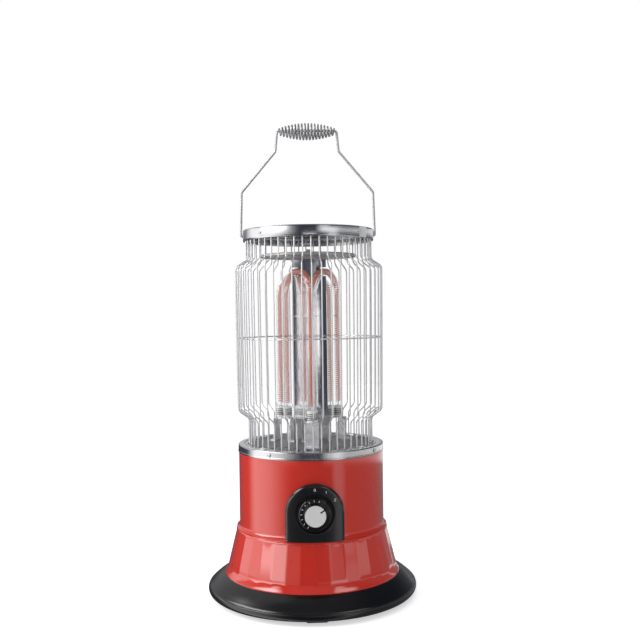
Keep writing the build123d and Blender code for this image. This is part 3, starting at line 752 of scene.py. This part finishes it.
def columnPart():
    heights = [columnLow, crownLevel - column["slot"], crownLevel + column["slot"], columnTop]
    heights = heights[:1] + [columnLow + (heights[1] - columnLow) * i / 6 for i in range(1, 7)] + heights[2:]
    outer, inner = columnLoop(0), columnLoop(column["sheet"])
    count, rows = len(outer), len(heights)
    points = [Vector((p.x, p.y, z)) for loop in (outer, inner) for z in heights for p in loop]
    sides = [Matrix.Rotation(math.radians(angle), 3, "Z") @ crownSide for angle in (0, 120, 240)]

    def kept(i, j):
        if not 0 <= i < rows - 1:
            return False
        j = j % count
        middle = (outer[j] + outer[(j + 1) % count]) / 2
        cut = any(middle.dot(side) > slotReach for side in sides)
        return not (cut and abs((heights[i] + heights[i + 1]) / 2 - crownLevel) < column["slot"])

    faces = []
    shift = rows * count
    for i in range(rows - 1):
        for j in range(count):
            if not kept(i, j):
                continue
            k = (j + 1) % count
            a, b, c, d = i * count + j, i * count + k, (i + 1) * count + k, (i + 1) * count + j
            faces += [(a, b, c, d), (a + shift, d + shift, c + shift, b + shift)]
            if not kept(i - 1, j):
                faces.append((a, a + shift, b + shift, b))
            if not kept(i + 1, j):
                faces.append((d, c, c + shift, d + shift))
            if not kept(i, j - 1):
                faces.append((a, d, d + shift, a + shift))
            if not kept(i, j + 1):
                faces.append((b, b + shift, c + shift, c))
    return points, faces


piece("reflectorColumn", [columnPart()], mirrorFinish, ["reflector_column"])


def hairpinPath(foot, steps=24):
    corners = [Vector((firstLeg.x, firstLeg.y, foot)), Vector((firstLeg.x, firstLeg.y, crownLevel)),
               Vector((lastLeg.x, lastLeg.y, crownLevel)), Vector((lastLeg.x, lastLeg.y, foot))]
    return softPath(corners, [lamp["bend"]] * 2, steps)


def glassPart():
    path = hairpinPath(levelsOf("lamp_tube_front")[0])
    outer, inner = [], []
    for at, way, side, up in framesAlong(path):
        outer.append([at + side * u + up * v for u, v in roundLoop(lamp["radius"], 24)])
        inner.append([at + side * u + up * v for u, v in roundLoop(lamp["radius"] - lamp["wall"], 24)])
    return skin(outer + inner[::-1], wrap=True)


spiral = {"radius": 3.8, "pitch": 3.2, "wire": 0.6, "steps": 14}
filamentFoot = levelsOf("carbon_filament_front")[0]


def spiralPart(path, radius, pitch, section, steps):
    frames = framesAlong(spaced(path, pitch / steps))
    rows, length = [], 0.0
    for i, (at, way, side, up) in enumerate(frames):
        if i:
            length += (at - frames[i - 1][0]).length
        turn = 2 * math.pi * length / pitch
        out = side * math.cos(turn) + up * math.sin(turn)
        rows.append([at + out * (radius + v) + way * u for u, v in section])
    return skin(rows)


for name, angle in (("front", 0), ("right", 120), ("left", 240)):
    piece("glassTube_" + name, turned(glassPart(), [angle]), glassFinish, ["lamp_tube_" + name])
    coil = spiralPart(hairpinPath(filamentFoot), spiral["radius"], spiral["pitch"], roundLoop(spiral["wire"], 6),
                      spiral["steps"])
    piece("filament_" + name, turned(coil, [angle]), carbonFinish, ["carbon_filament_" + name])

holder = {"radius": 7.4, "socket": 5.6, "depth": 12.0, "edge": 0.8, "waist": 0.7, "bore": 1.1,
          "waistFrom": 5.0, "waistTo": 8.0, "waistSlope": 0.6}
legPlaces = [spot(lamp["outerCircle"], 0), spot(lamp["innerCircle"], lamp["lead"])]


def holderPart():
    r, low, high = holder["radius"], holderLow, holderTop
    floor, waist, slope = high - holder["depth"], r - holder["waist"], holder["waistSlope"]
    foot, top = low + holder["waistFrom"], low + holder["waistTo"]
    corners = [(holder["bore"], low), (r, low), (r, foot), (waist, foot + slope), (waist, top - slope), (r, top),
               (r, high), (holder["socket"], high), (holder["socket"], floor), (holder["bore"], floor)]
    return lathe(softProfile(corners, [holder["edge"], 0.2, 0.2, 0.2, 0.2, holder["edge"], 0.4, 0.3], 4), 40)


def atLegs(part):
    return [one for place in legPlaces for one in turned(moved(part, Matrix.Translation(place)), (0, 120, 240))]


piece("ceramicSockets", atLegs(holderPart()), ceramicFinish, ["ceramic_holders"])

support = {"radius": 7.85, "pitch": 2.9, "wire": 0.5, "inset": 3.0}
supportPath = [Vector((0, 0, holderLow + support["inset"])), Vector((0, 0, holderTop - support["inset"]))]
supportCoil = spiralPart(supportPath, support["radius"], support["pitch"], roundLoop(support["wire"], 6), 14)
piece("leadSprings", atLegs(supportCoil), darkSpringFinish)
print("lamps made")

panel = {"half": 43.75, "top": 85.0, "depth": 7.0, "bevel": 3.5, "recess": 28.2, "recessDepth": 4.2, "foot": 0.3,
         "lip": 1.0, "seat": 0.05, "dish": (0.8, 0.6)}
panelBack = drumRadius + panel["seat"]
panelFace = panelBack + panel["depth"]
knobRise = knobZ - seam


def archLoop(inset):
    half, spring = panel["half"] - inset, panel["top"] - panel["half"]
    points = [(half * (2 * i / 24 - 1), panel["foot"]) for i in range(24)]
    points += [(half, panel["foot"] + (spring - panel["foot"]) * i / 14) for i in range(14)]
    points += [(half * math.cos(math.pi * i / 60), spring + half * math.sin(math.pi * i / 60)) for i in range(60)]
    points += [(-half, spring + (panel["foot"] - spring) * i / 14) for i in range(14)]
    return points


def circleLoop(radius):
    points = []
    for x, z in archLoop(panel["bevel"]):
        arm = Vector((x, z - knobRise)).normalized() * radius
        points.append((arm.x, knobRise + arm.y))
    return points


def onDrum(loop, radius):
    return [Vector((x, -math.sqrt(radius * radius - x * x), seam + z)) for x, z in loop]


def panelPart():
    rows = []
    for i in range(6):
        shrunk = [(x * i / 5, knobRise + (z - knobRise) * i / 5) for x, z in archLoop(0)]
        rows.append(onDrum(shrunk, panelBack))
    rows.append(onDrum(archLoop(0), panelFace - panel["bevel"]))
    for i in range(1, 8):
        turn = math.pi / 2 * i / 7
        inset, sunk = panel["bevel"] * (1 - math.cos(turn)), panel["bevel"] * (1 - math.sin(turn))
        rows.append(onDrum(archLoop(inset), panelFace - sunk))
    edge, rim = archLoop(panel["bevel"]), circleLoop(panel["recess"] + panel["lip"])
    for i in range(1, 7):
        share = i / 6
        between = [(x + (u - x) * share, z + (v - z) * share) for (x, z), (u, v) in zip(edge, rim)]
        rows.append(onDrum(between, panelFace))
    for i in range(1, 6):
        turn = math.pi / 2 * i / 5
        radius = panel["recess"] + panel["lip"] * (1 - math.sin(turn))
        rows.append(onDrum(circleLoop(radius), panelFace - panel["lip"] * (1 - math.cos(turn))))
    floor, (inset, rise) = panelFace - panel["recessDepth"], panel["dish"]
    for radius in (panel["recess"], panel["recess"] - inset, 12.0, 0.0):
        level = floor + (rise if radius == panel["recess"] else 0.0)
        rows.append([Vector((x, -level, seam + z)) for x, z in circleLoop(radius)])
    return skin(rows, caps=False)


piece("controlPanel", [panelPart()], panelFinish, ["control_panel"])

digits = {"circle": 36.0, "size": 3.6, "stroke": 0.28, "angles": (0.0, 27.5, 56.0), "lift": 0.05}
strokes = [
    [(0.36 * math.cos(turn), 0.5 + 0.5 * math.sin(turn)) for turn in [2 * math.pi * i / 24 for i in range(25)]],
    [(-0.2, 0.78), (0.06, 1.0), (0.06, 0.0)],
    [(-0.32, 0.74), (-0.2, 0.94), (0.02, 1.0), (0.24, 0.92), (0.3, 0.7), (0.2, 0.5), (-0.34, 0.0), (0.34, 0.0)],
]


def digitPart(stroke, angle):
    place = Vector((math.sin(math.radians(angle)), math.cos(math.radians(angle)))) * digits["circle"]
    path = []
    for x, z in stroke:
        at = (place.x + x * digits["size"], knobZ + place.y + (z - 0.5) * digits["size"])
        path.append(Vector((at[0], -math.sqrt((panelFace + digits["lift"]) ** 2 - at[0] ** 2), at[1])))
    return tubeAlong(spaced(path, 0.8), roundLoop(digits["stroke"], 8))


numbers = [digitPart(stroke, angle) for stroke, angle in zip(strokes, digits["angles"])]
piece("dialNumbers", numbers, markFinish)

knob = {"skirt": 24.3, "skirtHeight": 7.0, "grip": 17.0, "gripHeight": 9.0, "flutes": 36, "flute": 0.35, "face": 15.6,
        "faceHeight": 1.0, "pointer": 57.0, "pointerWidth": 2.2, "pointerLength": 7.0, "faceEdge": 0.25,
        "bore": 3.6, "web": 3.0, "dish": 1.0}
marks = {"count": 9, "first": -149, "step": 20.75, "circle": 20.4, "half": 0.4, "long": 1.3}
knobFront = -knobSpan[0].y / mm
gripFoot = knobFront - knob["gripHeight"]
knobBack = gripFoot - knob["skirtHeight"]


def dialPoint(radius, angle, level):
    turn = math.radians(angle)
    return Vector((radius * math.sin(turn), -level, knobZ + radius * math.cos(turn)))


def knobPart():
    wide, slim, seat = knob["skirt"], knob["grip"], knob["face"] + 0.05
    bore, web, dish = knob["bore"], knobFront - knob["web"], knobFront - knob["dish"]
    profile = [(0.0, web, 0), (bore, web, 0), (bore, knobBack, 0),  # radius, level and share of the fluting
               (wide - 1.0, knobBack, 0), (wide - 0.3, knobBack + 0.3, 0.5), (wide, knobBack + 1.0, 1),
               (wide, gripFoot - 1.8, 1), (wide - 0.3, gripFoot - 0.9, 0.8), (wide - 1.0, gripFoot - 0.3, 0.2),
               (wide - 1.8, gripFoot, 0), (slim + 1.1, gripFoot, 0), (slim + 0.4, gripFoot + 0.2, 0.3),
               (slim + 0.1, gripFoot + 0.8, 1), (slim, knobFront - 0.8, 1), (slim - 0.2, knobFront - 0.25, 0.6),
               (slim - 0.6, knobFront, 0.2), (seat + 0.2, knobFront, 0), (seat, knobFront - 0.2, 0),
               (seat, dish, 0), (0.0, dish, 0)]
    segments = knob["flutes"] * 6
    rows = []
    for r, level, ribbed in profile:
        row = []
        for j in range(segments):
            wave = abs(math.sin(math.pi * j / 6))
            row.append(dialPoint(max(r - knob["flute"] * ribbed * (1 - wave), 0), 360 * j / segments, level))
        rows.append(row)
    return skin(rows, caps=False)


def facePart():
    back = knobFront - knob["faceHeight"] + 0.05
    inner, half = knob["face"] - knob["pointerLength"], knob["pointerWidth"] / 2
    gap = math.degrees(math.asin(half / knob["face"]))
    count = 150
    angles = [knob["pointer"] + gap + (360 - 2 * gap) * j / count for j in range(count + 1)]
    outline = [(knob["face"] * math.sin(math.radians(a)), knob["face"] * math.cos(math.radians(a))) for a in angles]
    way = Vector((math.sin(math.radians(knob["pointer"])), math.cos(math.radians(knob["pointer"]))))
    side = Vector((way.y, -way.x))
    for i in range(9):
        turn = math.pi * i / 8
        at = way * (inner + half - half * math.sin(turn)) + side * (-half * math.cos(turn))
        outline.append((at.x, at.y))
    inset = 1 - knob["faceEdge"] / knob["face"]
    front = [Vector((x * inset, -knobFront, knobZ + z * inset)) for x, z in outline]
    rim = [Vector((x, -knobFront + knob["faceEdge"], knobZ + z)) for x, z in outline]
    rear = [Vector((x, -back, knobZ + z)) for x, z in outline]
    return skin([front, rim, rear])


def markPart(angle):
    r, low, half, long = marks["circle"], gripFoot - 0.1, marks["half"], marks["long"]
    way = Vector((math.sin(math.radians(angle)), 0, math.cos(math.radians(angle))))
    side = Vector((way.z, 0, -way.x))
    rows = []
    for rise, trim in ((0.0, 0.0), (0.35, 0.0), (0.5, 0.15)):
        rows.append([Vector((0, -low - rise, knobZ)) + way * (r + v * (long - trim)) + side * (u * (half - trim))
                     for u, v in ((-1, -1), (1, -1), (1, 1), (-1, 1))])
    return skin(rows)


piece("knobBody", [knobPart()], blackFinish, ["knob_skirt"], body="knob")
piece("knobFace", [facePart()], faceFinish, ["knob_face"], body="knob")
dialMarks = [markPart(marks["first"] + marks["step"] * i) for i in range(marks["count"])]
piece("knobMarks", dialMarks, markFinish, body="knob")
print("panel and knob made")

bail = {"radius": 2.0, "pinReach": 3.6, "standOff": 3.0, "leg": 70.0, "lean": 2.0, "hip": 65.0, "hipHalf": 50.5,
        "neck": 33.0, "topHalf": 47.5, "bends": [3.0, 6.0, 6.0, 4.5]}
pivotZ = frame["joints"][0]["pos_m"][2] / mm
bailTop = pivotZ + bail["leg"] + bail["hip"] + bail["neck"]


def bailPart():
    legX = capRadius + bail["standOff"]
    stops = [(capRadius - 0.8 - bail["pinReach"], pivotZ), (legX, pivotZ), (legX - bail["lean"], pivotZ + bail["leg"]),
             (bail["hipHalf"], pivotZ + bail["leg"] + bail["hip"]), (bail["topHalf"], bailTop)]
    corners = [(x, 0, z) for x, z in stops] + [(-x, 0, z) for x, z in reversed(stops)]
    path = softPath(corners, bail["bends"] + bail["bends"][::-1], 8)
    return tubeAlong(path, roundLoop(bail["radius"], 16))


grip = {"turns": 17, "wire": 1.3, "end": 4.7, "belly": 12.4, "margin": 3.5}


def gripPart():
    centre = bailTop - (grip["end"] - grip["wire"] - bail["radius"] - 0.05)
    half = bail["topHalf"] - grip["margin"]
    path = []
    for i in range(grip["turns"] * 40 + 1):
        turn = i / 40
        share = 2 * turn / grip["turns"] - 1
        radius = grip["end"] + (grip["belly"] - grip["end"]) * (1 - share * share)
        spin = 2 * math.pi * turn
        path.append(Vector((half * share, radius * math.sin(spin), centre + radius * math.cos(spin))))
    return tubeAlong(path, roundLoop(grip["wire"], 10))


piece("bailWire", [bailPart()], bailFinish, ["bail_handle"], body="bail")
piece("gripCoil", [gripPart()], springFinish, ["grip_coil"], body="bail")
print("bail made")

dress(rubberFinish, ["rubber_feet"])
dress(blackFinish, ["cord_bush"])
dress(brightFinish, ["handle_retainers"])
dress(zincFinish, ["bottom_plate", "base_screws", "cap_brackets", "panel_screws", "tie_rod", "rod_nuts", "switch_shaft",
                   "switch_nut", "lamp_leads"])
dress(sheetFinish, ["holder_shelves", "tube_clips"])
# the pan under the floor plate gets painted shade instead of its own metal colour
dress(paintedShadeSteelFinish, ["chassis_pan"])
dress(plateFinish, ["floor_plate"])
dress(mirrorFinish, ["column_cap"])
dress(ceramicFinish, ["terminal_block"])
dress(switchFinish, ["rotary_switch", "tilt_switch", "thermal_cutout"])
print("solids dressed")

stage = {"floor": 8.0, "glow": 0.55, "unmirrored": 0.97, "fill": 0.57, "middle": 0.35}
dusk = (0.040, 0.046, 0.066)

# what metal and paint mirror, in degrees: azimuth from and to, its two soft edges, elevation from and to,
# the soft edge of both, and last the light
boxes = {
    "left": (-98.0, -80.0, 24.0, 50.0, -90.0, -1.0, 4.0, 1.5),
    "leftHigh": (-114.0, -96.0, 10.0, 8.0, -1.0, 3.4, 1.4, 1.5),
    "leftAbove": (-88.0, -56.0, 6.0, 30.0, 7.0, 16.0, 1.6, 3.6),
    "collarRight": (50.0, 150.0, 24.0, 26.0, -9.5, -7.0, 0.5, 1.1),
    "collarLeft": (-100.0, -48.0, 20.0, 36.0, -9.5, -7.0, 0.5, 1.2),
    "collarStrip": (27.0, 40.0, 17.0, 20.0, -9.5, -7.0, 0.5, 1.5),
    "capLeft": (-112.0, -62.0, 42.0, 48.0, 3.0, 12.0, 4.0, 1.45),
    "capStrip": (25.0, 38.0, 16.0, 34.0, 4.8, 8.0, 1.5, 1.6),
    "capRight": (56.0, 150.0, 20.0, 26.0, 5.0, 7.2, 1.0, 0.92),
    "leftTop": (-105.0, -60.0, 16.0, 16.0, 32.0, 42.0, 8.0, 6.5),
    "leftBack": (-165.0, -110.0, 10.0, 30.0, 12.0, 70.0, 14.0, 0.45),
    "rightTop": (34.0, 56.0, 8.0, 10.0, 33.0, 39.0, 6.0, 2.4),
    "strip": (37.0, 44.0, 10.0, 14.0, -90.0, 2.0, 4.0, 0.72),
    "right": (50.0, 168.0, 18.0, 12.0, -90.0, 15.0, 15.0, 0.12),
    "front": (-9.0, 9.0, 4.0, 4.0, -3.0, 0.5, 1.0, 1.3),
    "skirtStrip": (20.0, 30.0, 8.0, 10.0, 9.5, 20.0, 1.5, 0.6),
    "frontHigh": (-30.0, 30.0, 12.0, 12.0, 24.0, 70.0, 8.0, 0.14),
    "backLow": (176.0, 180.0, 10.0, 1.0, -90.0, 2.0, 4.0, 0.26),
    "backHigh": (176.0, 180.0, 10.0, 1.0, 4.0, 40.0, 3.0, 0.6),
    "behindLow": (-180.0, -176.0, 1.0, 10.0, -90.0, 2.0, 4.0, 0.26),
    "behindHigh": (-180.0, -176.0, 1.0, 10.0, 4.0, 40.0, 3.0, 0.6),
    "above": (-180.0, 180.0, 1.0, 1.0, 72.0, 90.0, 20.0, 0.08),
}


def lightPath(start):
    kinds = ("Is Camera Ray", "Is Glossy Ray", "Is Transmission Ray")
    path = start.tree.nodes.new("ShaderNodeLightPath")
    return [Value(start.tree, path.outputs[kind]) for kind in kinds]


def within(start, value, low, high, fadeIn, fadeOut):
    smooth = {"interpolation_type": "SMOOTHSTEP"}
    rising = start.make("MapRange", smooth, {0: value, 1: low - fadeIn, 2: low, 3: 0.0, 4: 1.0})
    falling = start.make("MapRange", smooth, {0: value, 1: high, 2: high + fadeOut, 3: 1.0, 4: 0.0})
    return rising * falling


def floorFinish():
    made, start = material("paleFloor")
    camera, glossy, through = lightPath(start)
    seen = start.maths("MINIMUM", camera + through, 1.0)
    shade = blend(start, noise(start, places(start), 3.0), (0.80, 0.80, 0.80), (0.83, 0.83, 0.83))
    matt = start.make("BsdfDiffuse", None, {"Color": shade})
    glow = start.make("Emission", None, {"Color": (1, 1, 1, 1), "Strength": seen * stage["glow"]})
    pale = start.make("AddShader", None, {0: matt, 1: glow})
    clear = start.make("BsdfTransparent")
    mixed = start.make("MixShader", None, {0: glossy * stage["unmirrored"], 1: pale, 2: clear})
    start.make("OutputMaterial", None, {"Surface": mixed})
    return made


def floorSheet():
    half = stage["floor"] / 2
    mesh = bpy.data.meshes.new("floorSheet")
    mesh.from_pydata([(-half, -half, 0), (half, -half, 0), (half, half, 0), (-half, half, 0)], [], [(0, 1, 2, 3)])
    mesh.materials.append(floorFinish())
    made = bpy.data.objects.new("floorSheet", mesh)
    bpy.context.scene.collection.objects.link(made)


def studioWorld():
    world = bpy.data.worlds.new("studioWorld")
    bpy.context.scene.world = world
    world.use_nodes = True
    world.node_tree.nodes.clear()
    start = Value(world.node_tree)
    x, y, z = split(start, start.make("TexCoord"))
    azimuth = start.maths("ARCTAN2", x, 0 - y) * (180 / math.pi)
    elevation = start.maths("ARCSINE", z) * (180 / math.pi)
    mirrored = 0.0
    for left, right, fadeIn, fadeOut, low, high, blur, light in boxes.values():
        aside = within(start, azimuth, left, right, fadeIn, fadeOut)
        upright = within(start, elevation, low, high, blur, blur)
        mirrored = start.maths("MAXIMUM", aside * upright * light, mirrored)
    camera, glossy, through = lightPath(start)
    shown = start.maths("MAXIMUM", camera, through)
    strength = start.maths("MAXIMUM", shown, glossy * mirrored)
    tinted = blend(start, start.maths("MINIMUM", strength + (1 - glossy), 1.0), dusk, (1.0, 1.0, 1.0))
    level = start.maths("MAXIMUM", start.maths("MAXIMUM", strength, glossy), (1 - glossy) * (1 - shown) * stage["fill"])
    back = start.make("Background", None, {"Color": tinted, "Strength": level})
    start.make("OutputWorld", None, {"Surface": back})


# azimuth, elevation, distance, width, height and power
softboxes = {"leftBox": (-86, 22, 2.0, 1.2, 1.4, 29), "topBox": (10, 70, 2.0, 1.6, 1.6, 10)}


def softbox(name, azimuth, elevation, distance, width, height, power):
    light = bpy.data.lights.new(name, "AREA")
    light.shape = "RECTANGLE"
    light.size, light.size_y, light.energy = width, height, power
    made = bpy.data.objects.new(name, light)
    flat = spot(distance * math.cos(math.radians(elevation)), azimuth)
    middle = Vector((0, 0, stage["middle"]))
    made.location = flat + middle + Vector((0, 0, distance * math.sin(math.radians(elevation))))
    made.rotation_euler = (middle - made.location).to_track_quat("-Z", "Y").to_euler()
    made.visible_glossy = False
    bpy.context.scene.collection.objects.link(made)


def studioCamera():
    view = {"lens": 48.2, "place": (-0.055, -1.369, 0.441), "aim": (0.0173, 0.0, 0.433), "roll": -0.76}
    data = bpy.data.cameras.new("studioCamera")
    data.lens = view["lens"]
    data.sensor_width = 36.0
    data.clip_start, data.clip_end = 0.05, 50
    made = bpy.data.objects.new("studioCamera", data)
    place = Vector(view["place"])
    turn = (Vector(view["aim"]) - place).to_track_quat("-Z", "Y") @ Quaternion((0, 0, 1), math.radians(view["roll"]))
    made.location, made.rotation_euler = place, turn.to_euler()
    bpy.context.scene.collection.objects.link(made)
    bpy.context.scene.camera = made


floorSheet()
studioWorld()
for name, values in softboxes.items():
    softbox(name, *values)
studioCamera()
bpy.context.scene.view_settings.view_transform = "Standard"
print("stage made")
